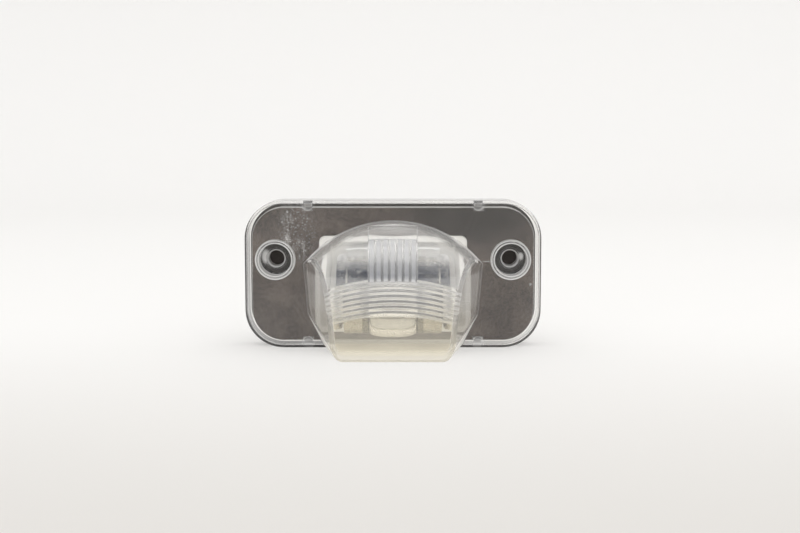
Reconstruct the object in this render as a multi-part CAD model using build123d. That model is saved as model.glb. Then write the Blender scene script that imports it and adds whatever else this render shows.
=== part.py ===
from build123d import *

import os
from math import acos, asin, cos, degrees, radians, sin

# Rear number plate lamp, in millimetres. X runs along the lamp, -Y is the way the lens faces and +Z is up.
# The origin lies midway between the two screw holes, on the plane of the skirt's rear edge.

# Lens flange and skirt
flange_width = 85.0
flange_height = 42.4
flange_corner = 11.0
skirt_depth = 10.0
front_wall = 2.2
skirt_wall = 2.0
rim_bevel = 0.8

# Screw wells
screw_edge = 8.7
screw_rise = 4.2
screw_hole = 4.6
hole_bevel = 0.8
well_diameter = 9.3
well_depth = 4.5
boss_diameter = 11.4

# Lugs in the rim that key the gasket
lug_spacing = 49.0
lug_inset = 1.5
lug_width = 2.8
lug_slot_width = 2.0
lug_slot_height = 0.9
lug_slot_depth = 5.0

# Dome, with heights taken from the flange's lower edge
dome_projection = 24.0
dome_wall = 1.6
window_height = 12.7
crown_radius = 32.7
crown_arcs = 5
brow_radius = 57.0
brow_share = 2.0
shoulder_width = 51.2
shoulder_height = 24.0
waist_width = 48.8
waist_height = 9.8
foot_width = 39.0
face_width = 36.0
face_shoulder = 17.8
face_foot_width = 30.0
edge_round = 2.5
face_bevel = 0.7

# Curved ribs across the front of the dome and upright flutes inside its top
rib_count = 7
rib_zone = 10.0
rib_depth = 0.5
rib_overlap = 1.08
flute_count = 7
flute_pitch = 1.9
flute_depth = 0.45
flute_groove = 0.35
flute_pad = 0.8
flute_start = 30.0
flute_end = 67.0
plain_start = 8.0

# Gasket
gasket_gap = 0.15
gasket_plate = 2.6
gasket_lip = 3.0
gasket_inset = 1.2
gasket_proud = 0.8
gasket_collar = 2.8
sleeve_wall = 2.0
pocket_corner = 2.0

# Bulb holder
holder_width = 42.4
holder_bottom = 4.4
holder_top = 32.2
holder_corner = 1.9
holder_gap = 0.1
holder_wall = 1.5
holder_taper = 1.1
holder_floor = 1.6
holder_rear = 0.6
flange_lap = 1.2
flange_thickness = 1.4
terminal_pad = 2.4
terminal_rim = 1.5

# Reflector sheet
reflector_sheet = 0.5
reflector_bend = 4.5
reflector_drop = 3.3
reflector_bottom = 7.5
wing_reach = 3.0
wing_lean = 2.2
wing_top = 27.1
wing_corner = 1.5
wing_gap = 1.8
wing_clear = 1.2

# Contact strips with their blade terminals
strip_thickness = 0.8
strip_width = 4.8
blade_reach = 9.0
blade_offset = 1.7
contact_flare = 1.5
contact_grip = 0.8
contact_front = 3.2
contact_tip = 6.0
contact_rise = 1.0
contact_clear = 0.6
blade_chamfer = 1.2

# Festoon bulb
bulb_margin = 5.7
bulb_forward = 7.0
bulb_clearance = 2.8
glass_diameter = 10.6
glass_wall = 0.6
glass_length = 13.8
glass_shoulder = 1.2
cap_diameter = 8.5
cap_lip = 0.5
tip_length = 1.8
tip_diameter = 3.2
lead_diameter = 0.5
filament_half = 3.6
filament_diameter = 0.7

# Clearance round pieces that slide into one another
fit = 0.1

z_low = -flange_height / 2 - screw_rise
z_mid = -screw_rise
y_face = -skirt_depth
y_plate = y_face + front_wall
y_floor = -holder_rear - holder_floor
half_screw = flange_width / 2 - screw_edge
half_lug = lug_spacing / 2
bulb_half = holder_width / 2 - bulb_margin
reflector_top = holder_top - reflector_drop
reflector_half = holder_width / 2 - holder_wall - holder_taper - wing_gap - wing_reach
cap_end = bulb_half - tip_length
contact_x = bulb_half - contact_grip
blade_x = contact_x + blade_offset
y_bulb = y_face - bulb_forward
z_bulb = z_low + dome_wall + bulb_clearance + glass_diameter / 2
socket_radius = tip_diameter / 2 + fit
bulb_place = Pos(0, y_bulb, z_bulb)


def at(y, z=0.0):
    """Plane facing -Y at depth y, so that its own x and y run along X and Z."""
    return Plane(origin=(0, y, z), x_dir=(1, 0, 0), z_dir=(0, -1, 0))


def slab(sketch, y_front, y_rear, z=0.0):
    return extrude(at(y_rear, z) * sketch, y_rear - y_front)


def rod(radius, y_front, y_rear, x=0.0, z=0.0):
    return slab(Pos(x, z) * Circle(radius), y_front, y_rear)


def panel(bottom, top, width, corner=0.0):
    """Rectangle between two heights above the flange's lower edge, with round corners where asked."""
    height = top - bottom
    outline = RectangleRounded(width, height, corner) if corner else Rectangle(width, height)
    return Pos(0, z_low + (bottom + top) / 2) * outline


def holder_panel(margin, corner=0.0):
    """The bulb holder's outline, grown by a margin."""
    return panel(holder_bottom - margin, holder_top + margin, holder_width + 2 * margin, corner)


def meet(p, along_p, q, along_q):
    """Point where two lines in a plane cross."""
    cross = along_p[0] * along_q[1] - along_p[1] * along_q[0]
    step = ((q[0] - p[0]) * along_q[1] - (q[1] - p[1]) * along_q[0]) / cross
    return (p[0] + step * along_p[0], p[1] + step * along_p[1])


# Dome. Facets run from the outline on the flange to the outline of the front face.
def facet_outlines():
    shoulder = (shoulder_width / 2, shoulder_height)
    waist = (waist_width / 2, waist_height)
    foot = (foot_width / 2, 0.0)
    brow = (face_width / 2, face_shoulder)
    toe = (face_foot_width / 2, 0.0)
    side = (shoulder[0] - waist[0], shoulder[1] - waist[1])
    chin = (foot[0] - waist[0], foot[1] - waist[1])
    knee = meet(brow, side, toe, chin)

    def raised(point):
        return (point[0] + side[0], point[1] + side[1])

    return [raised(shoulder), waist, foot], [raised(brow), knee, toe]


def ring(half, y):
    right = [Vector(x, y, z_low + h) for x, h in half]
    left = [Vector(-x, y, z_low + h) for x, h in reversed(half)]
    return right + left


def facet_body():
    rear, front = facet_outlines()
    rear_ring = ring(rear, y_face)
    front_ring = ring(front, y_face - dome_projection)
    faces = [Face(Wire.make_polygon(rear_ring)), Face(Wire.make_polygon(front_ring))]
    for index in range(len(rear_ring)):
        other = (index + 1) % len(rear_ring)
        corners = [rear_ring[index], rear_ring[other], front_ring[other], front_ring[index]]
        faces.append(Face(Wire.make_polygon(corners)))
    return Solid(Shell(faces))


def crown_point(angle, inset):
    forward = (dome_projection - inset) * sin(radians(angle))
    height = window_height + (dome_projection - inset) * cos(radians(angle))
    share = (forward / dome_projection) ** brow_share
    radius = crown_radius + (brow_radius - crown_radius) * share - inset
    return forward, height, radius


def crown_section(angle, inset):
    forward, height, radius = crown_point(angle, inset)
    half = shoulder_width / 2 + 0.4
    spread = degrees(asin(half / radius))
    step = 2 * spread / crown_arcs
    starts = [90 - spread + index * step for index in range(crown_arcs)]
    arcs = [CenterArc((0, height - radius), radius, start, step) for start in starts]
    outline = Polyline(arcs[-1] @ 1, (-half, -4), (half, -4), arcs[0] @ 0)
    return at(y_face - forward, z_low) * make_face([*arcs, outline])


def crown_body(inset):
    return loft([crown_section(angle, inset) for angle in range(0, 91, 10)])


def extend_back(body, amount):
    rear = body.faces().sort_by(Axis.Y)[-1]
    return body + extrude(rear, amount, dir=(0, 1, 0))


def rib_groove(index):
    """Ring of V section that cuts one groove between two ribs."""
    top = acos(rib_zone / dome_projection)
    step = (radians(90) - top) / rib_count
    angle = top + (index + 0.5) * step
    forward, height, radius = crown_point(degrees(angle), 0)
    half = step * dome_projection / 2
    along = (cos(angle), -sin(angle))
    out = (sin(angle), cos(angle))

    def corner(run, rise):
        y = y_face - forward - run * along[0] - rise * out[0]
        z = z_low + height + run * along[1] + rise * out[1]
        return (y, z)

    spread = rib_overlap * half * (1 + 1 / rib_depth)
    notch = Polyline(corner(-spread, 1), corner(0, -rib_depth), corner(spread, 1), close=True)
    axis = Axis((0, 0, z_low + height - radius), (0, 1, 0))
    return revolve(Plane.YZ * make_face(notch), axis)


def strip_arc(outline, start, end):
    """Turns an (x, radius) outline about the crown's own axis, between two angles from the top."""
    section = Rot(start, 0, 0) * (Plane.XZ * make_face(Polyline(outline, close=True)))
    turned = revolve(section, Axis.X, end - start)
    return Pos(0, y_face, z_low + window_height) * turned


def flute_strip():
    half = flute_count * flute_pitch / 2
    wall = dome_projection - dome_wall
    root = wall - flute_pad
    crest = root - flute_depth
    outline = [(-half, wall + 0.5)]
    for index in range(flute_count):
        left = -half + index * flute_pitch
        right = left + flute_pitch
        outline += [(left, root), (left + flute_groove, crest), (right - flute_groove, crest)]
    outline += [(half, root), (half, wall + 0.5)]
    plain = [(-half, wall + 0.5), (-half, root), (half, root), (half, wall + 0.5)]
    return strip_arc(outline, flute_start, flute_end) + strip_arc(plain, plain_start, flute_start)


def make_lens():
    outline = Pos(0, z_mid) * RectangleRounded(flange_width, flange_height, flange_corner)
    inside = Pos(0, z_mid) * RectangleRounded(
        flange_width - 2 * skirt_wall, flange_height - 2 * skirt_wall, flange_corner - skirt_wall
    )
    body = slab(outline, y_face, 0)
    body = chamfer(body.faces().sort_by(Axis.Y)[0].edges(), rim_bevel)
    plain = facet_body()
    below_waist = plain.edges().filter_by(lambda edge: edge.center().Z < z_low + waist_height)
    long_edges = below_waist.filter_by(lambda edge: abs((edge % 0.5).Y) > 0.5)
    shaped = fillet(long_edges, edge_round)
    front_edges = shaped.faces().sort_by(Axis.Y)[0].edges().sort_by(Axis.Z)[:-1]
    shaped = chamfer(front_edges, face_bevel)
    outer = shaped & crown_body(0)
    body += extend_back(outer, front_wall)
    inner = offset(plain, amount=-dome_wall, kind=Kind.INTERSECTION) & crown_body(dome_wall)
    body -= slab(inside, y_plate, 1)
    body -= extend_back(inner, dome_wall + front_wall + 0.5)
    body += flute_strip()
    for index in range(rib_count):
        body -= rib_groove(index)
    for x in (-half_screw, half_screw):
        body += rod(boss_diameter / 2, y_face + 0.5, 0, x)
        body -= rod(well_diameter / 2, y_face - 1, y_face + well_depth, x)
        body -= rod(screw_hole / 2, y_face, 1, x)
        mouth = at(y_face + well_depth) * Pos(x, 0) * Circle(screw_hole / 2 + hole_bevel)
        throat = at(y_face + well_depth + hole_bevel) * Pos(x, 0) * Circle(screw_hole / 2)
        body -= loft([mouth, throat])
    for x in (-half_lug, half_lug):
        for side in (-1, 1):
            wall = z_mid + side * (flange_height / 2 - lug_inset)
            lug = rod(lug_width / 2, y_plate - 0.2, 0, x, wall)
            slot = slab(Pos(x, wall) * Rectangle(lug_slot_width, lug_slot_height), -lug_slot_depth, 1)
            body += lug
            body -= slot
    return body


def make_gasket():
    margin = skirt_wall + gasket_gap
    width = flange_width - 2 * margin
    height = flange_height - 2 * margin
    outline = Pos(0, z_mid) * RectangleRounded(width, height, flange_corner - margin)
    seal = Pos(0, z_mid) * RectangleRounded(
        flange_width - 2 * gasket_inset, flange_height - 2 * gasket_inset, flange_corner - gasket_inset
    )
    body = slab(outline, y_plate, gasket_proud) + slab(seal, 0, gasket_proud)
    pocket_inner = holder_width / 2 + flange_lap + gasket_collar
    pocket_outer = width / 2 - gasket_lip
    pocket_top = -boss_diameter / 2 - gasket_gap - sleeve_wall
    pocket_bottom = z_mid - height / 2 + gasket_lip
    for side in (-1, 1):
        place = Pos(side * (pocket_inner + pocket_outer) / 2, (pocket_top + pocket_bottom) / 2)
        outline = RectangleRounded(pocket_outer - pocket_inner, pocket_top - pocket_bottom, pocket_corner)
        body -= slab(place * outline, y_plate + gasket_plate, gasket_proud + 1)
    window = holder_panel(holder_gap, holder_corner)
    body -= slab(window, y_plate - 1, gasket_proud + 1)
    groove = holder_panel(flange_lap + holder_gap)
    body -= slab(groove, y_plate + gasket_plate, y_plate + gasket_plate + flange_thickness)
    for x in (-half_screw, half_screw):
        body -= rod(boss_diameter / 2 + gasket_gap, y_plate - 1, 0, x)
    for x in (-half_lug, half_lug):
        for side in (-1, 1):
            wall = z_mid + side * (flange_height / 2 - lug_inset)
            notch = Rectangle(lug_width + 2 * gasket_gap, lug_width + 2 * gasket_gap)
            body -= slab(Pos(x, wall) * notch, y_plate - 1, 0)
            nib = Rectangle(lug_slot_width - 2 * fit, lug_slot_height - 2 * fit)
            body += slab(Pos(x, wall) * nib, -lug_slot_depth + fit, gasket_proud)
    return body


def make_holder():
    y_front = y_plate + fit
    body = slab(holder_panel(0, holder_corner), y_front, -holder_rear)
    y_flange = y_plate + gasket_plate
    body += slab(holder_panel(flange_lap), y_flange, y_flange + flange_thickness)
    mouth = holder_panel(-holder_wall, holder_corner / 2)
    inset = holder_wall + holder_taper
    seat = panel(holder_bottom + holder_wall, holder_top - inset, holder_width - 2 * inset, holder_corner / 2)
    body -= loft([at(y_floor) * seat, at(y_front) * mouth])
    for x in (-blade_x, blade_x):
        pad = Pos(x, z_bulb) * Rectangle(strip_thickness + 2 * terminal_rim, strip_width + 2 * terminal_rim)
        body += slab(pad, -holder_rear - 0.2, -holder_rear + terminal_pad)
        slot = Pos(x, z_bulb) * Rectangle(strip_thickness + 2 * fit, strip_width + 2 * fit)
        body -= slab(slot, y_floor - 1, terminal_pad + 1)
    return body


def make_reflector():
    y_back = y_floor
    y_sheet = y_back - reflector_sheet
    z_bend = z_low + reflector_top - reflector_bend - reflector_sheet
    z_foot = z_low + reflector_bottom
    y_lip = y_sheet - reflector_bend
    z_lip = z_bend + reflector_bend
    z_crest = z_lip + reflector_sheet
    half_turn = cos(radians(45))
    rear_step = (reflector_bend + reflector_sheet) * half_turn
    front_step = reflector_bend * half_turn
    rear_mid = (y_lip + rear_step, z_bend + rear_step)
    front_mid = (y_lip + front_step, z_bend + front_step)
    rear = ThreePointArc((y_back, z_bend), rear_mid, (y_lip, z_crest))
    front = ThreePointArc((y_lip, z_lip), front_mid, (y_sheet, z_bend))
    sheet = make_face(
        [
            Line((y_back, z_foot), (y_back, z_bend)),
            rear,
            Line((y_lip, z_crest), (y_lip, z_lip)),
            front,
            Line((y_sheet, z_bend), (y_sheet, z_foot)),
            Line((y_sheet, z_foot), (y_back, z_foot)),
        ]
    )
    body = extrude(Plane.YZ * sheet, reflector_half, both=True)
    z_wing = z_bulb + strip_width / 2 + wing_clear
    wing_height = z_low + wing_top - z_wing
    start = reflector_half - reflector_sheet
    end = reflector_half + wing_reach
    wing = Polyline(
        (start, y_back),
        (reflector_half, y_back),
        (end, y_back - wing_lean),
        (end, y_back - wing_lean - reflector_sheet),
        (start, y_sheet),
        close=True,
    )
    leaf = extrude(Pos(0, 0, z_wing) * make_face(wing), wing_height)
    rounding = Pos(0, z_wing + wing_height / 2) * RectangleRounded(2 * end, wing_height, wing_corner)
    leaf &= slab(rounding, y_back - wing_lean - 1, y_back)
    return body + leaf + mirror(leaf, about=Plane.YZ)


def make_contact():
    path = [
        (blade_x, blade_reach),
        (blade_x, y_floor - contact_rise),
        (contact_x, y_bulb + cap_diameter / 2 + contact_clear),
        (contact_x, y_bulb - contact_front),
        (contact_x + contact_flare, y_bulb - contact_tip),
    ]
    half = strip_thickness / 2
    outer = [(x + half, y) for x, y in path]
    inner = [(x - half, y) for x, y in reversed(path)]
    profile = make_face(Polyline(outer + inner, close=True))
    body = extrude(Pos(0, 0, z_bulb) * profile, strip_width / 2, both=True)
    tip = body.faces().sort_by(Axis.Y)[-1].edges().filter_by(Axis.X)
    body = chamfer(tip, blade_chamfer)
    socket = Plane.YZ * Pos(y_bulb, z_bulb) * Circle(socket_radius)
    body -= extrude(socket, 2 * contact_x)
    return body


def turned(points):
    """Solid turned about the bulb's axis from (x, radius) corners."""
    return bulb_place * revolve(make_face(Polyline(points, close=True)), Axis.X)


def make_cap():
    rim = glass_length / 2
    points = [
        (rim, 0),
        (rim, cap_diameter / 2),
        (cap_end, cap_diameter / 2),
        (cap_end, tip_diameter / 2),
        (bulb_half, tip_diameter / 2),
        (bulb_half, 0),
    ]
    return turned(points)


def make_glass():
    """Blown tube whose ends narrow to the caps and are sealed round the two leads."""
    rim = glass_length / 2
    neck = cap_diameter / 2 - cap_lip
    flat = rim - glass_shoulder
    outside = glass_diameter / 2
    bore = outside - glass_wall
    wire = lead_diameter / 2 + fit

    def section(corners):
        mirrored = [(-x, radius) for x, radius in reversed(corners)]
        return make_face(Polyline(corners + mirrored, close=True))

    tube = section([(rim, 0), (rim, neck), (flat, outside)])
    hollow = section([(rim, 0), (rim, wire), (flat, wire), (flat, bore)])
    return bulb_place * revolve(tube - hollow, Axis.X)


def make_lead():
    length = glass_length / 2 - filament_half
    wire = Cylinder(lead_diameter / 2, length, rotation=(0, 90, 0))
    return Pos(filament_half + length / 2, y_bulb, z_bulb) * wire


def make_filament():
    return bulb_place * Cylinder(filament_diameter / 2, 2 * filament_half, rotation=(0, 90, 0))


contact = make_contact()
cap = make_cap()
lead = make_lead()
nodes = {
    "lens": make_lens(),
    "gasket": make_gasket(),
    "bulb_holder": make_holder(),
    "reflector": make_reflector(),
    "contact_left": mirror(contact, about=Plane.YZ),
    "contact_right": contact,
    "bulb_glass": make_glass(),
    "bulb_cap_left": mirror(cap, about=Plane.YZ),
    "bulb_cap_right": cap,
    "bulb_lead_left": mirror(lead, about=Plane.YZ),
    "bulb_lead_right": lead,
    "bulb_filament": make_filament(),
}

os.makedirs("parts", exist_ok=True)
for name, shape in nodes.items():
    export_step(shape, f"parts/{name}.step")
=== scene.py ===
import math

import bpy
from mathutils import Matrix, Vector


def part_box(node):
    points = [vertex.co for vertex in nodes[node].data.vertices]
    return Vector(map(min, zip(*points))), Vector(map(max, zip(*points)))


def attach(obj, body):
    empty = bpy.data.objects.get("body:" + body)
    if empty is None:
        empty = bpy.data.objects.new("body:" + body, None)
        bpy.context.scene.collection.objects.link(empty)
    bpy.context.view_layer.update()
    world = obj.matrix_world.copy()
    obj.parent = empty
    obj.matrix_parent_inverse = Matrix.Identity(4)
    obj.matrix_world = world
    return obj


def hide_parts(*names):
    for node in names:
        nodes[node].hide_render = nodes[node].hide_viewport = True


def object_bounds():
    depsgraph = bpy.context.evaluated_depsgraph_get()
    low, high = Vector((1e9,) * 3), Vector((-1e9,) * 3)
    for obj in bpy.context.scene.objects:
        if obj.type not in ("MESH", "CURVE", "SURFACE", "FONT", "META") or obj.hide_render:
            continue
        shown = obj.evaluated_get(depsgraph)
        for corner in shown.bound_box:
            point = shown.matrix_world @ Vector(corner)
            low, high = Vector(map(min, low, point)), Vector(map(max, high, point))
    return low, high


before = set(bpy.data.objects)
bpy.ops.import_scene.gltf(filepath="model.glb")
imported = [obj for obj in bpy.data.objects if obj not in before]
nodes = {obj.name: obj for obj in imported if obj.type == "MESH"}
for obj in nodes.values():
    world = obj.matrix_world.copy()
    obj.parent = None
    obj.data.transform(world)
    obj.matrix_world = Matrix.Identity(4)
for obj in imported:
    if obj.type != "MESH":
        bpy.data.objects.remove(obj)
cad_low, cad_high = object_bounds()

MM = 0.001
FLOOR_Z = cad_low[2]
LENS_LOW, LENS_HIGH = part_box("lens")
SHEET_LOW, SHEET_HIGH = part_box("reflector")
GASKET_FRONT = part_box("gasket")[0].y


def mm(*values):
    """Lengths given in millimetres, in metres."""
    return tuple(value * MM for value in values)


def offset(base, *values):
    """Places given in millimetres from a base, in metres."""
    return tuple(base + value * MM for value in values)


# Camera, set from the photograph's horizon and the lamp's own size
CAMERA_PLACE = Vector((2.0 * MM, -405.0 * MM, FLOOR_Z + 67.3 * MM))
CAMERA_PITCH = math.radians(6.32)
CAMERA_LENS = 62.46
CAMERA_NEAR = 0.01
SENSOR_WIDTH = 36.0

# Lens: front of its flange, and the band over which the dome begins ahead of it
FLANGE_FACE = LENS_LOW.y + 24.0 * MM
DOME_START = offset(FLANGE_FACE, -2.0, -0.5)

# Lens: colours, refraction, share of light let straight through, radius of its edges, and roughness where
# it is fully cloudy
LENS_COLOUR = (0.985, 0.975, 0.95)
# Painted shade: dark colour of the rim lines and of the flute grooves
PAINTED_SHADE_COLOUR = (0.18, 0.18, 0.19)
LENS_SHEEN = (1.0, 0.98, 0.95)
SHEEN_ROUGH = 0.22
LENS_IOR = 1.49
LENS_PASS = 0.98
LENS_EDGE = 0.35 * MM
EDGE_TURN = (0.99, 0.80)
CLOUD_ROUGH = 0.3

# Softness of patches, of the ends of zones and of fine lines
PATCH_FADE = (0.35, 1.0, 1.0, 0.0)
ZONE_FADE = 1.0 * MM
LINE_FADE = 0.1 * MM

# Cloudiness of the lens: a film all over, the share of it on the dome, pale haze on sharp edges as a painted
# highlight, a painted white highlight on the dome's outline where it is seen edge-on, and its dusty crown
FILM_SIZE = 18.0 * MM
FILM_HAZE = (0.3, 0.7, 0.03, 0.055)
DOME_FILM = 0.3
EDGE_HIGHLIGHT_HAZE = 0.45
OUTLINE_HIGHLIGHT_HAZE = 0.85
OUTLINE_FACING = (0.80, 0.97)
CROWN_HAZE = 0.19
CROWN_TILT = (0.40, 0.95)

# Foot of the dome: a cloudy sill, and a cream film that thins upwards and towards the sides; both are partly
# real cloudiness and partly painted light that lifts the shade seen through the foot
SILL_HAZE_AND_LIGHT = 0.40
SILL_ENDS = offset(LENS_LOW.z, 1.8, 3.5)
CHIN_HAZE_AND_LIGHT = 0.18
CHIN_ENDS = offset(LENS_LOW.z, 2.0, 24.0)
CHIN_HALF = mm(16.0, 20.0)
CHIN_SIDE = 0.6
CHIN_CREAM_AND_LIGHT = (0.97, 0.92, 0.79)

# Curved ribs, and haze over them that paints light onto them
RIB_LIGHT_HAZE = 0.11
RIB_ENDS = offset(LENS_LOW.z, 13.0, 22.0)

# Upright flutes inside the top of the dome, painted highlights on their flats, and painted shade in the
# grooves between them, which thins upwards; the tilt tells the dome's inner face from its outer one
FLUTE_PITCH = 1.9 * MM
FLUTE_HALF = 6.65 * MM
FLUTE_ENDS = offset(LENS_LOW.z, 22.0, 31.0)
FLUTE_HIGHLIGHT_HAZE = 0.36
FLUTE_HIGHLIGHT_COLOUR = (0.76, 0.77, 0.80)
INNER_TILT = (0.0, 0.1)
GROOVE_HALF = 0.45 * MM
GROOVE_SHADE_HAZE = 0.70
GROOVE_FADE = offset(LENS_LOW.z, 25.0, 30.0)
GROOVE_TOP = 0.2

# Flange: radius of its corners, and painted shade in its edge: dark lines from the outline inwards, which
# fade to the right and upwards
RIM_CORNER = 11.0 * MM
RIM_OUTER = mm(-1.0, 0.8)
RIM_INNER = mm(1.4, 1.9)
RIM_INNER_SHARE = 0.5
RIM_FADE = 0.15 * MM
RIM_ACROSS = (*mm(-20.0, 38.0), 0.85, 0.35)
RIM_UP = (*mm(4.0, 14.0), 1.0, 0.15)

# Lugs in the rim: distance of their axes from the middle, and height and cloudiness of the two rows
LUG_AXIS = 24.5 * MM
LUG_INSET = 1.5 * MM
LUG_REACH = mm(2.6, 4.0, 2.0)
LUG_ROWS = ((LENS_HIGH.z - LUG_INSET, 0.18), (LENS_LOW.z + LUG_INSET, 0.36))

# Screw wells: pale rings round hole, wall and boss as painted highlights of their edges, and a painted glint
# deep in each well, on its outer side
WELL_AXIS = 33.8 * MM
WELL_LINE = 0.35 * MM
WELL_RINGS = mm(2.3, 4.65, 5.35)
WELL_FLOOR = FLANGE_FACE + 4.5 * MM
WELL_HIGHLIGHT_HAZE = 0.60
GLINT_AXIS = WELL_AXIS + 3.0 * MM
GLINTS = (
    ((-GLINT_AXIS, WELL_FLOOR, 0.6 * MM), mm(1.7, 3.0, 2.8)),
    ((GLINT_AXIS, WELL_FLOOR, 0.6 * MM), mm(1.2, 3.0, 1.6)),
)

# Scuffs at the upper left of the flange: centre and half sizes of the specks, a streak and a rubbed spot
SCUFF = ((-27.3 * MM, FLANGE_FACE, 8.5 * MM), mm(8.0, 6.0, 12.0))
STREAK = ((-30.3 * MM, FLANGE_FACE, 9.0 * MM), mm(2.4, 6.0, 9.0))
RUB = ((-26.8 * MM, FLANGE_FACE, 3.0 * MM), mm(3.2, 6.0, 4.5))
SPECK_CUT = (0.58, 0.66)
SPECK_HAZE = 0.34
SMEAR_CUT = (0.45, 0.65)
SMEAR_HAZE = 0.28

# Small marks on the flange: a chip near the right-hand rim and a hairline beside the right-hand well
MARK_HAZE = 0.3
MARKS = (
    ((39.4 * MM, FLANGE_FACE, -7.0 * MM), mm(0.6, 2.0, 0.6)),
    ((26.8 * MM, FLANGE_FACE, -0.4 * MM), mm(2.0, 2.0, 0.25)),
)

# Rubber: colours under thin and thick dust, and a darker one; the patch where it darkens and the depth where
# the dust ends
RUBBER_ROUGH = 0.62
RUBBER_GRAIN = 0.010 * MM
DUST_CLOUDS = (0.35, 0.75, 0.0, 0.45)
DUST_SPECKS = (0.36, 0.68, 0.0, 0.40)
RUBBER_THIN = (0.068, 0.053, 0.044)
RUBBER_THICK = (0.215, 0.166, 0.138)
RUBBER_DARKER = (0.034, 0.027, 0.023)
DARKEN_SHARE = 0.8
DARKEN_PATCH = ((22.0 * MM, GASKET_FRONT, 13.0 * MM), mm(24.0, 10.0, 14.0))
DUST_ENDS = offset(GASKET_FRONT, 1.5, 5.0)

# White plastic
WHITE_ROUGH = 0.38
WHITE_GRAIN = 0.012 * MM
WHITE_CUT = (0.35, 0.8)
WHITE_FRESH = (0.95, 0.94, 0.91)
WHITE_STAINED = (0.89, 0.87, 0.82)

# Reflector: colours, speckle, the folds of its side leaves, and the heights over which it turns from paler
# grey to dark blue, its folds turn from pale lines to plain, and its top turns bright; the dark blue is a
# painted dark reflection on a dulled sheet, and the paler grey, the pale fold lines and the bright top are
# painted reflections
SHEET_BLUE = (0.018, 0.027, 0.062)
SHEET_GREY = (0.62, 0.62, 0.60)
SHEET_BRIGHT = (0.97, 0.97, 0.96)
SHEET_ROUGH = (0.3, 0.8, 0.16, 0.30)
SHEET_GRAIN = 0.010 * MM
SHEET_SPECKLE = (0.46, 0.66, 0.0, 0.45)
SHEET_METAL = (0.2, 0.9, 1.0, 0.0)
WING_FOLD = SHEET_HIGH.x - 3.0 * MM
FOLD_HALF = 0.2 * MM
RAGGED = 3.0 * MM
PALER_LOW_ENDS = (*offset(SHEET_LOW.z, 9.5, 12.5), 0.9, 0.0)
FOLD_HIGHLIGHT_ENDS = (*offset(SHEET_LOW.z, 13.0, 18.0), 0.9, 0.1)
BRIGHT_ENDS = offset(SHEET_HIGH.z, -6.0, 0.5)

# Plated metals: pale and dark colour and roughness, and painted shade at the ends of the bulb's caps next to
# the glass
TINNED = ((0.80, 0.78, 0.74), (0.68, 0.65, 0.60), 0.22)
CAP_METAL = ((0.56, 0.53, 0.46), (0.46, 0.43, 0.36), 0.22)
WIRE_METAL = ((0.60, 0.58, 0.55), (0.42, 0.40, 0.38), 0.25)
PLATED_BLOOM = (0.35, 0.75)
PLATED_WEAR = (0.3, 0.8)
PLATED_SPREAD = 0.1
PLATED_GRAIN = 0.001 * MM
CAP_SHADE = (*mm(8.3, 8.8), 0.8, 0.0)
CAP_SHADE_COLOUR = (0.16, 0.15, 0.11)
DRAWN = (0.4, 1, 1)

# Glass of the bulb
GLASS_COLOUR = (1.0, 0.985, 0.94)
GLASS_IOR = 1.48
GLASS_PASS = 0.97
GLASS_FILM = (0.4, 0.8, 0.0, 0.10)
GLASS_ROUGH = (0.4, 0.8, 0.01, 0.10)
GLASS_WALL = 0.5 * MM
GLASS_NECK = 3.7 * MM
GLASS_STRAIGHT = 0.2
GLASS_RINGS = 14
GLASS_STEPS = 72

# Filament
COIL_TURNS = 17
COIL_POINTS = 12
COIL_WIRE = 0.09 * MM

# Floor sweep, in metres, and its paper
FLOOR_HALF = 1.6
FLOOR_FRONT = -1.2
SWEEP_START = 0.55
SWEEP_RADIUS = 0.25
SWEEP_TOP = 1.4
SWEEP_STEPS = 12
PAPER_ROUGH = 0.9
PAPER_GRAIN = 0.02 * MM
PAPER_ENDS = (-0.25, 0.05)
PAPER_NEAR = (0.70, 0.675, 0.635)
PAPER_FAR = (0.74, 0.73, 0.71)
PAPER_GLOW = (0.06, 0.24)
GLOW_COLOUR = (1.0, 0.99, 0.97)

# Room, with directions as parts of a unit vector, and the panel above the lamp
ROOM_DARK = (0.22, 0.22, 0.23)
ROOM_PALE = (0.98, 0.985, 1.0)
ROOM_SEEN = (0.92, 0.91, 0.88)
ROOM_CEILING = (0.15, 0.55)
ROOM_LEFT = (-0.85, -0.55)
ROOM_LEVEL = 1.0
PANEL_PLACE = Vector((0.1, -0.1, 0.75))
PANEL_SIZE = (0.9, 0.7)
PANEL_POWER = 1.0
PANEL_COLOUR = (1.0, 0.98, 0.95)


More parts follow.
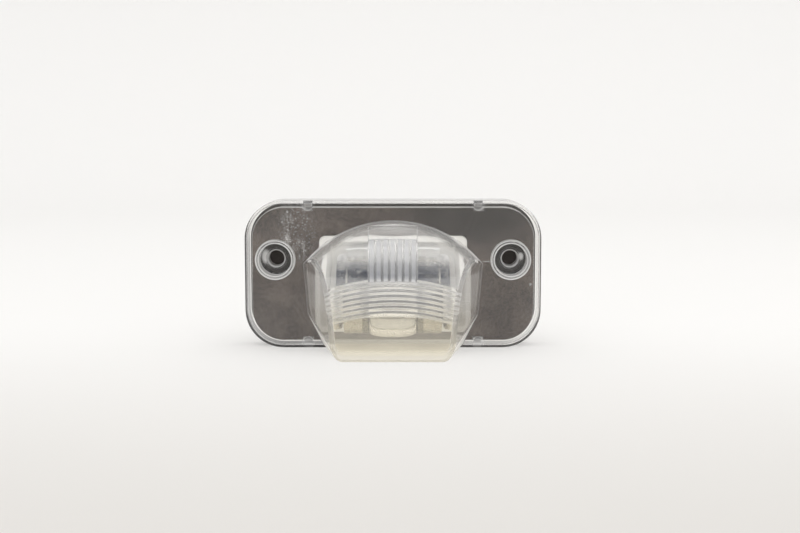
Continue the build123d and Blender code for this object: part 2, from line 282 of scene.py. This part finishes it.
class Nodes:
    """A node tree, and short ways to add nodes that work out values and colours in it."""

    def __init__(self, tree, coordinate):
        self.tree = tree
        self.place = self.add("ShaderNodeTexCoord").outputs[coordinate]

    def add(self, kind, **settings):
        node = self.tree.nodes.new(kind)
        for key, value in settings.items():
            setattr(node, key, value)
        return node

    def join(self, source, target):
        self.tree.links.new(source, target)

    def axes(self, vector=None):
        """X, Y and Z of a vector, or of the place that is being shaded."""
        split = self.add("ShaderNodeSeparateXYZ")
        self.join(vector or self.place, split.inputs["Vector"])
        return split.outputs

    def ramp(self, source, low, high, to_low=0.0, to_high=1.0):
        """Maps low..high of a value to to_low..to_high, held at the ends."""
        node = self.add("ShaderNodeMapRange", interpolation_type="SMOOTHSTEP")
        self.join(source, node.inputs["Value"])
        node.inputs["From Min"].default_value = low
        node.inputs["From Max"].default_value = high
        node.inputs["To Min"].default_value = to_low
        node.inputs["To Max"].default_value = to_high
        return node.outputs["Result"]

    def band(self, value, low, high, fade):
        """1 between low and high, 0 beyond them."""
        return self.product(self.ramp(value, low - fade, low), self.ramp(value, high, high + fade, 1.0, 0.0))

    def math(self, operation, *values):
        node = self.add("ShaderNodeMath", operation=operation)
        for socket, value in zip(node.inputs, values):
            if isinstance(value, (int, float)):
                socket.default_value = value
            else:
                self.join(value, socket)
        return node.outputs["Value"]

    def product(self, value, *others):
        for other in others:
            value = self.math("MULTIPLY", value, other)
        return value

    def largest(self, value, *others):
        for other in others:
            value = self.math("MAXIMUM", value, other)
        return value

    def total(self, start, weighted):
        """The start value plus each value times its weight."""
        for value, weight in weighted:
            start = self.math("MULTIPLY_ADD", value, weight, start)
        return start

    def inverse(self, value):
        return self.math("SUBTRACT", 1.0, value)

    def blend(self, factor, first, second):
        """Colour between two colours, each a plain one or one that already varies."""
        node = self.add("ShaderNodeMix", data_type="RGBA")
        self.join(factor, node.inputs["Factor"])
        for name, colour in (("A", first), ("B", second)):
            if isinstance(colour, tuple):
                node.inputs[name].default_value = (*colour, 1)
            else:
                self.join(colour, node.inputs[name])
        return node.outputs["Result"]


class Shading(Nodes):
    """A material with one Principled shader, and patterns laid out in the part's own frame."""

    def __init__(self, name, **sockets):
        self.material = bpy.data.materials.new(name)
        self.material.use_nodes = True
        super().__init__(self.material.node_tree, "Object")
        self.shader = self.tree.nodes["Principled BSDF"]
        self.output = self.tree.nodes["Material Output"]
        for socket, value in sockets.items():
            self.shader.inputs[socket.replace("_", " ")].default_value = value

    def feed(self, socket, source):
        self.join(source, self.shader.inputs[socket])

    def noise(self, size, detail=4.0, rough=0.55, stretch=(1, 1, 1)):
        """Noise whose features are about size metres across."""
        mapping = self.add("ShaderNodeMapping")
        mapping.inputs["Scale"].default_value = [value / size for value in stretch]
        self.join(self.place, mapping.inputs["Vector"])
        texture = self.add("ShaderNodeTexNoise")
        texture.inputs["Scale"].default_value = 1.0
        texture.inputs["Detail"].default_value = detail
        texture.inputs["Roughness"].default_value = rough
        self.join(mapping.outputs["Vector"], texture.inputs["Vector"])
        return texture.outputs["Fac"]

    def patch(self, centre, reach):
        """1 inside an ellipsoid of half sizes reach round centre, fading to 0 at its edge."""
        mapping = self.add("ShaderNodeMapping", vector_type="TEXTURE")
        mapping.inputs["Location"].default_value = centre
        mapping.inputs["Scale"].default_value = reach
        self.join(self.place, mapping.inputs["Vector"])
        length = self.add("ShaderNodeVectorMath", operation="LENGTH")
        self.join(mapping.outputs["Vector"], length.inputs[0])
        return self.ramp(length.outputs["Value"], *PATCH_FADE)

    def from_axis(self, x):
        """Distance from the nearer of two axes along Y, at x and -x."""
        place = self.axes()
        across = self.math("SUBTRACT", self.math("ABSOLUTE", place["X"]), x)
        square = self.math("MULTIPLY", place["Z"], place["Z"])
        return self.math("SQRT", self.math("MULTIPLY_ADD", across, across, square))

    def from_rim(self, low, high, corner):
        """Distance inwards from the outline of a rounded rectangle, seen along Y."""
        place = self.axes()
        overs = []
        for axis in (0, 2):
            middle = (low[axis] + high[axis]) / 2
            straight = (high[axis] - low[axis]) / 2 - corner
            away = self.math("ABSOLUTE", self.math("SUBTRACT", place[axis], middle))
            overs.append(self.math("SUBTRACT", away, straight))
        squares = []
        for over in overs:
            past = self.math("MAXIMUM", over, 0.0)
            squares.append(self.math("MULTIPLY", past, past))
        outside = self.math("SQRT", self.math("ADD", *squares))
        inside = self.math("MINIMUM", self.math("MAXIMUM", *overs), 0.0)
        return self.math("SUBTRACT", corner, self.math("ADD", outside, inside))

    def outward(self):
        """X, Y and Z of the normal that points out of the material, from whichever side it is seen."""
        surface = self.add("ShaderNodeNewGeometry").outputs
        turned = self.add("ShaderNodeVectorMath", operation="SCALE")
        self.join(surface["Normal"], turned.inputs[0])
        sign = self.math("MULTIPLY_ADD", surface["Backfacing"], -2.0, 1.0)
        self.join(sign, turned.inputs["Scale"])
        return self.axes(turned.outputs["Vector"])

    def bump(self, height, depth):
        node = self.add("ShaderNodeBump")
        node.inputs["Strength"].default_value = 1.0
        node.inputs["Distance"].default_value = depth
        self.join(height, node.inputs["Height"])
        self.feed("Normal", node.outputs["Normal"])

    def soft_edges(self, radius):
        """Shades sharp edges as if moulded with a small radius. Returns 0 on flats, rising along edges."""
        node = self.add("ShaderNodeBevel", samples=6)
        node.inputs["Radius"].default_value = radius
        self.feed("Normal", node.outputs["Normal"])
        compare = self.add("ShaderNodeVectorMath", operation="DOT_PRODUCT")
        self.join(node.outputs["Normal"], compare.inputs[0])
        self.join(self.add("ShaderNodeNewGeometry").outputs["Normal"], compare.inputs[1])
        return self.ramp(compare.outputs["Value"], *EDGE_TURN)

    def pass_light(self, share):
        """Lets the room's light straight through, as a clear wall would otherwise throw a solid shadow."""
        clear = self.add("ShaderNodeBsdfTransparent")
        path = self.add("ShaderNodeLightPath").outputs
        mix = self.add("ShaderNodeMixShader")
        light = self.largest(path["Is Shadow Ray"], path["Is Diffuse Ray"])
        self.join(self.product(light, share), mix.inputs["Fac"])
        self.join(self.shader.outputs["BSDF"], mix.inputs[1])
        self.join(clear.outputs["BSDF"], mix.inputs[2])
        self.join(mix.outputs["Shader"], self.output.inputs["Surface"])


def painted_rim_shade(look, ahead):
    """Painted shade: dark lines along the flange's edge, weaker towards the right and the top."""
    place = look.axes()
    depth = look.from_rim(LENS_LOW, LENS_HIGH, RIM_CORNER)
    outer = look.band(depth, *RIM_OUTER, RIM_FADE)
    inner = look.band(depth, *RIM_INNER, RIM_FADE)
    lines = look.math("MULTIPLY_ADD", inner, RIM_INNER_SHARE, outer)
    fading = look.product(look.ramp(place["X"], *RIM_ACROSS), look.ramp(place["Z"], *RIM_UP))
    return look.product(lines, look.inverse(ahead), fading)


def flange_marks_and_highlights(look):
    """Scuffs, marks and lugs of the flange, and its well rings and glints that are painted highlights, each
    with its cloudiness.
    """
    specks = look.ramp(look.noise(0.45 * MM, detail=2, rough=0.5), *SPECK_CUT)
    smear = look.ramp(look.noise(0.9 * MM, detail=6, rough=0.7, stretch=(1, 1, 0.2)), *SMEAR_CUT)
    smeared = look.largest(look.patch(*STREAK), look.patch(*RUB))
    from_screw = look.from_axis(WELL_AXIS)
    # Painted highlights: pale rings at the edges of hole, wall and boss, and a glint deep in each well
    rings = [look.band(from_screw, radius, radius + WELL_LINE, LINE_FADE) for radius in WELL_RINGS]
    glints = [look.patch(centre, reach) for centre, reach in GLINTS]
    marks = [
        (look.product(look.patch(*SCUFF), specks), SPECK_HAZE),
        (look.product(smeared, smear), SMEAR_HAZE),
        (look.largest(*rings, *glints), WELL_HIGHLIGHT_HAZE),
    ]
    for centre, reach in MARKS:
        marks.append((look.patch(centre, reach), MARK_HAZE))
    for x in (-LUG_AXIS, LUG_AXIS):
        for height, haze in LUG_ROWS:
            marks.append((look.patch((x, FLANGE_FACE, height), LUG_REACH), haze))
    return marks


def clear_lens():
    """Clear moulding with dusty crown and scuffed flange, painted highlights on edges, outline and flute
    flats, painted shade in rim lines and each groove, and haze on foot and ribs that partly paints light.
    """
    look = Shading(
        "clear_lens",
        IOR=LENS_IOR,
        Sheen_Weight=1.0,
        Sheen_Roughness=SHEEN_ROUGH,
        Sheen_Tint=(*LENS_SHEEN, 1),
    )
    place = look.axes()
    normal = look.outward()
    sideways = look.math("ABSOLUTE", place["X"])
    ahead = look.ramp(place["Y"], *DOME_START, 1.0, 0.0)

    # Cloudy sill and cream chin, partly painted light lifting the shade seen through the foot
    sill = look.product(look.ramp(place["Z"], *SILL_ENDS, 1.0, 0.0), ahead)
    chin = look.product(look.ramp(place["Z"], *CHIN_ENDS, 1.0, 0.0), ahead)
    chin = look.product(chin, look.ramp(sideways, *CHIN_HALF, 1.0, CHIN_SIDE))
    # Haze on the ribs, painted light that whitens them
    ribs = look.product(look.band(place["Z"], *RIB_ENDS, ZONE_FADE), ahead)
    crown = look.product(look.ramp(normal["Z"], *CROWN_TILT), ahead)

    group = look.ramp(sideways, FLUTE_HALF, FLUTE_HALF + LINE_FADE, 1.0, 0.0)
    group = look.product(group, look.band(place["Z"], *FLUTE_ENDS, ZONE_FADE), ahead)
    plain = look.inverse(group)
    # Painted highlight: pale haze along sharp edges
    edges = look.product(look.soft_edges(LENS_EDGE), plain)
    facing = look.add("ShaderNodeLayerWeight").outputs["Facing"]
    # Painted highlight: a pale line where the dome is seen edge-on
    outline = look.product(look.ramp(facing, *OUTLINE_FACING), ahead, plain)

    inner = look.product(group, look.ramp(normal["Y"], *INNER_TILT))
    groove = FLUTE_PITCH / 2 - GROOVE_HALF
    across = look.math("PINGPONG", sideways, FLUTE_PITCH / 2)
    flat = look.ramp(across, groove, groove + LINE_FADE, 1.0, 0.0)
    # Painted highlight: pale haze on the flats of the flutes; painted shade: dark in the grooves, thinning
    # upwards
    flute_highlight = look.product(inner, flat)
    groove_shade = look.product(inner, look.inverse(flat), look.ramp(place["Z"], *GROOVE_FADE, 1.0, GROOVE_TOP))

    colour = look.blend(chin, LENS_COLOUR, CHIN_CREAM_AND_LIGHT)
    colour = look.blend(flute_highlight, colour, FLUTE_HIGHLIGHT_COLOUR)
    # Painted shade: the dark rim lines and the flute grooves, laid into the base colour
    dark = look.largest(painted_rim_shade(look, ahead), groove_shade)
    look.feed("Base Color", look.blend(dark, colour, PAINTED_SHADE_COLOUR))

    film = look.ramp(look.noise(FILM_SIZE, detail=3), *FILM_HAZE)
    film = look.product(film, look.math("MULTIPLY_ADD", ahead, DOME_FILM - 1.0, 1.0))
    dome_haze_and_light = [
        (edges, EDGE_HIGHLIGHT_HAZE),
        (outline, OUTLINE_HIGHLIGHT_HAZE),
        (sill, SILL_HAZE_AND_LIGHT),
        (chin, CHIN_HAZE_AND_LIGHT),
        (ribs, RIB_LIGHT_HAZE),
        (crown, CROWN_HAZE),
        (groove_shade, GROOVE_SHADE_HAZE),
        (flute_highlight, FLUTE_HIGHLIGHT_HAZE),
    ]
    # Real cloudiness, dust and scuffs, together with the painted highlights, shade and light above
    haze_and_painted_light = look.total(film, dome_haze_and_light + flange_marks_and_highlights(look))
    look.feed("Transmission Weight", look.inverse(haze_and_painted_light))
    look.feed("Roughness", look.product(haze_and_painted_light, CLOUD_ROUGH))
    look.pass_light(LENS_PASS)
    return look.material


def black_rubber():
    """Rubber that is dusty in front, and darker towards the upper right and behind."""
    look = Shading("black_rubber", Roughness=RUBBER_ROUGH)
    clouds = look.ramp(look.noise(9 * MM, detail=4, rough=0.6), *DUST_CLOUDS)
    specks = look.ramp(look.noise(0.8 * MM, detail=5, rough=0.7), *DUST_SPECKS)
    dusty = look.blend(look.math("ADD", clouds, specks), RUBBER_THIN, RUBBER_THICK)
    behind = look.ramp(look.axes()["Y"], *DUST_ENDS)
    # Darker towards the upper right and further back
    darkening = look.product(look.largest(look.patch(*DARKEN_PATCH), behind), DARKEN_SHARE)
    look.feed("Base Color", look.blend(darkening, dusty, RUBBER_DARKER))
    look.bump(look.noise(0.5 * MM, detail=5, rough=0.65), RUBBER_GRAIN)
    return look.material


def white_plastic():
    look = Shading("white_plastic", Roughness=WHITE_ROUGH)
    stain = look.ramp(look.noise(8 * MM, detail=5), *WHITE_CUT)
    look.feed("Base Color", look.blend(stain, WHITE_FRESH, WHITE_STAINED))
    look.bump(look.noise(0.6 * MM, detail=3), WHITE_GRAIN)
    return look.material


def bright_sheet():
    """Plated sheet, dulled and speckled, with painted reflections: dark blue low down, paler grey at the
    bottom and along its folds, and bright along its curved top.
    """
    look = Shading("bright_sheet")
    place = look.axes()
    grain = look.noise(1.1 * MM, detail=3, rough=0.7)
    ragged = look.math("MULTIPLY_ADD", look.noise(2.5 * MM, detail=5, rough=0.65), RAGGED, place["Z"])
    # Painted reflection: the curved top is painted bright and less metallic
    painted_bright_top = look.ramp(ragged, *BRIGHT_ENDS)
    sideways = look.math("ABSOLUTE", place["X"])
    fold = look.band(sideways, WING_FOLD - FOLD_HALF, WING_FOLD + FOLD_HALF, LINE_FADE)
    # Real speckle, with painted reflection: paler grey low down and pale lines along the folds
    speckle_and_painted_light = look.largest(
        look.ramp(grain, *SHEET_SPECKLE),
        look.ramp(ragged, *PALER_LOW_ENDS),
        look.product(fold, look.ramp(ragged, *FOLD_HIGHLIGHT_ENDS)),
    )
    # Painted dark reflection: dark blue on a dulled sheet
    dulled_and_painted_reflection = look.blend(speckle_and_painted_light, SHEET_BLUE, SHEET_GREY)
    look.feed("Base Color", look.blend(painted_bright_top, dulled_and_painted_reflection, SHEET_BRIGHT))
    look.feed("Metallic", look.ramp(painted_bright_top, *SHEET_METAL))
    look.feed("Roughness", look.ramp(look.noise(3 * MM, detail=4), *SHEET_ROUGH))
    look.bump(grain, SHEET_GRAIN)
    return look.material


def plated(name, pale, dark, rough, stain=None):
    """Tinned or nickelled metal, dulled in patches and drawn along X, and with painted shade near X = 0 if
    stain is given.
    """
    look = Shading(name, Metallic=1.0)
    bloom = look.ramp(look.noise(2.5 * MM, detail=4, rough=0.5, stretch=DRAWN), *PLATED_BLOOM)
    colour = look.blend(bloom, pale, dark)
    if stain:
        # Painted shade at the caps' ends next to the glass
        near = look.ramp(look.math("ABSOLUTE", look.axes()["X"]), *stain)
        colour = look.blend(near, colour, CAP_SHADE_COLOUR)
    look.feed("Base Color", colour)
    wear = look.noise(1.2 * MM, detail=4, rough=0.5, stretch=DRAWN)
    look.feed("Roughness", look.ramp(wear, *PLATED_WEAR, rough, rough + PLATED_SPREAD))
    look.bump(look.noise(0.25 * MM, detail=3, rough=0.5, stretch=(0.2, 1, 1)), PLATED_GRAIN)
    return look.material


def bulb_glass():
    look = Shading("bulb_glass", Base_Color=(*GLASS_COLOUR, 1), IOR=GLASS_IOR)
    film = look.ramp(look.noise(3 * MM, detail=4), *GLASS_FILM)
    look.feed("Transmission Weight", look.inverse(film))
    look.feed("Roughness", look.ramp(look.noise(2 * MM, detail=4), *GLASS_ROUGH))
    look.pass_light(GLASS_PASS)
    return look.material


def floor_paper():
    """Pale paper, a little brighter where the camera and the lamp's clear or shiny pieces see it."""
    look = Shading("floor_paper", Roughness=PAPER_ROUGH, Emission_Color=(*GLOW_COLOUR, 1))
    place = look.axes()
    look.feed("Base Color", look.blend(look.ramp(place["Y"], *PAPER_ENDS), PAPER_NEAR, PAPER_FAR))
    path = look.add("ShaderNodeLightPath").outputs
    seen = look.largest(path["Is Camera Ray"], path["Is Glossy Ray"], path["Is Transmission Ray"])
    look.feed("Emission Strength", look.product(seen, look.ramp(place["Y"], *PAPER_ENDS, *PAPER_GLOW)))
    look.bump(look.noise(0.8 * MM, detail=3), PAPER_GRAIN)
    return look.material


def mesh_piece(name, points, faces, material):
    mesh = bpy.data.meshes.new(name)
    mesh.from_pydata(points, [], faces)
    mesh.update()
    mesh.materials.append(material)
    for face in mesh.polygons:
        face.use_smooth = True
    piece = bpy.data.objects.new(name, mesh)
    bpy.context.scene.collection.objects.link(piece)
    return piece


def barrel_profile(half, radius, neck, flat):
    """Radii of a tube whose ends curve in to the necks, from one end to the other."""
    profile = []
    for index in range(2 * GLASS_RINGS + 1):
        along = -half + index * half / GLASS_RINGS
        past = max(0.0, abs(along) - flat) / (half - flat)
        profile.append((along, neck + (radius - neck) * math.sqrt(max(0.0, 1 - past**2))))
    return profile


def make_glass(material):
    """The bulb's envelope, turned about the bulb's own axis."""
    low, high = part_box("bulb_glass")
    centre = (low + high) / 2
    half = (high.x - low.x) / 2
    radius = (high.z - low.z) / 2
    outer = barrel_profile(half, radius, GLASS_NECK, GLASS_STRAIGHT * half)
    inner = [(x, r - GLASS_WALL) for x, r in reversed(outer)]
    loop = outer + inner
    points = []
    for x, r in loop:
        for step in range(GLASS_STEPS):
            turn = 2 * math.pi * step / GLASS_STEPS
            points.append(centre + Vector((x, r * math.cos(turn), r * math.sin(turn))))
    faces = []
    for ring in range(len(loop)):
        after = (ring + 1) % len(loop)
        for step in range(GLASS_STEPS):
            side = (step + 1) % GLASS_STEPS
            here = ring * GLASS_STEPS
            there = after * GLASS_STEPS
            faces.append((here + step, there + step, there + side, here + side))
    piece = mesh_piece("bulb_envelope", points, faces, material)
    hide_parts("bulb_glass")
    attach(piece, "root")


def make_filament(material):
    """A fine coil between the two leads, in place of its plain rod."""
    low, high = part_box("bulb_filament")
    centre = (low + high) / 2
    radius = (high.z - low.z) / 2 - COIL_WIRE
    curve = bpy.data.curves.new("filament_coil", "CURVE")
    curve.dimensions = "3D"
    curve.bevel_depth = COIL_WIRE
    curve.bevel_resolution = 2
    spline = curve.splines.new("NURBS")
    count = COIL_TURNS * COIL_POINTS + 1
    spline.points.add(count - 1)
    for index, point in enumerate(spline.points):
        turn = 2 * math.pi * index / COIL_POINTS
        x = low.x + COIL_WIRE + (high.x - low.x - 2 * COIL_WIRE) * index / (count - 1)
        point.co = (x, centre.y + radius * math.cos(turn), centre.z + radius * math.sin(turn), 1)
    spline.order_u = 4
    spline.use_endpoint_u = True
    curve.materials.append(material)
    piece = bpy.data.objects.new("filament_coil", curve)
    bpy.context.scene.collection.objects.link(piece)
    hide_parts("bulb_filament")
    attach(piece, "root")


def make_floor(material):
    """A sheet that lies flat under the lamp and sweeps up behind it."""
    profile = [(FLOOR_FRONT, FLOOR_Z), (SWEEP_START, FLOOR_Z)]
    for step in range(1, SWEEP_STEPS + 1):
        turn = math.pi / 2 * step / SWEEP_STEPS
        y = SWEEP_START + SWEEP_RADIUS * math.sin(turn)
        profile.append((y, FLOOR_Z + SWEEP_RADIUS * (1 - math.cos(turn))))
    profile.append((profile[-1][0], FLOOR_Z + SWEEP_TOP))
    points = [(side * FLOOR_HALF, y, z) for y, z in profile for side in (-1, 1)]
    faces = [(2 * i, 2 * i + 1, 2 * i + 3, 2 * i + 2) for i in range(len(profile) - 1)]
    mesh_piece("floor_sweep", points, faces, material)


def hang_panel():
    """One soft panel above the lamp, turned to the origin."""
    panel = bpy.data.lights.new("top_panel", "AREA")
    panel.shape = "RECTANGLE"
    panel.size, panel.size_y = PANEL_SIZE
    panel.energy = PANEL_POWER
    panel.color = PANEL_COLOUR
    holder = bpy.data.objects.new("top_panel", panel)
    holder.location = PANEL_PLACE
    holder.rotation_euler = (-PANEL_PLACE).to_track_quat("-Z", "Y").to_euler()
    bpy.context.scene.collection.objects.link(holder)


def light_room():
    """A pale room with a dark screen to the left, and the colour of the paper to the camera itself."""
    world = bpy.data.worlds.new("room")
    world.use_nodes = True
    room = Nodes(world.node_tree, "Generated")
    toward = room.axes()
    bright = room.largest(room.ramp(toward["Z"], *ROOM_CEILING), room.ramp(toward["X"], *ROOM_LEFT))
    light = room.blend(bright, ROOM_DARK, ROOM_PALE)
    to_camera = room.add("ShaderNodeLightPath").outputs["Is Camera Ray"]
    sky = room.tree.nodes["Background"]
    room.join(room.blend(to_camera, light, ROOM_SEEN), sky.inputs["Color"])
    sky.inputs["Strength"].default_value = ROOM_LEVEL
    bpy.context.scene.world = world


def place_camera():
    lens = bpy.data.cameras.new("camera")
    lens.lens = CAMERA_LENS
    lens.sensor_width = SENSOR_WIDTH
    lens.clip_start = CAMERA_NEAR
    camera = bpy.data.objects.new("camera", lens)
    camera.location = CAMERA_PLACE
    camera.rotation_euler = (math.radians(90) - CAMERA_PITCH, 0, 0)
    bpy.context.scene.collection.objects.link(camera)
    bpy.context.scene.camera = camera


def dress(material, *names):
    for name in names:
        slots = nodes[name].data.materials
        slots.clear()
        slots.append(material)


wire = plated("bulb_wire", *WIRE_METAL)
dress(clear_lens(), "lens")
dress(black_rubber(), "gasket")
dress(white_plastic(), "bulb_holder")
dress(bright_sheet(), "reflector")
dress(plated("tinned_strip", *TINNED), "contact_left", "contact_right")
dress(plated("bulb_cap", *CAP_METAL, CAP_SHADE), "bulb_cap_left", "bulb_cap_right")
dress(wire, "bulb_lead_left", "bulb_lead_right", "bulb_filament")
make_glass(bulb_glass())
make_filament(wire)
make_floor(floor_paper())
hang_panel()
light_room()
place_camera()
bpy.context.scene.view_settings.view_transform = "Standard"
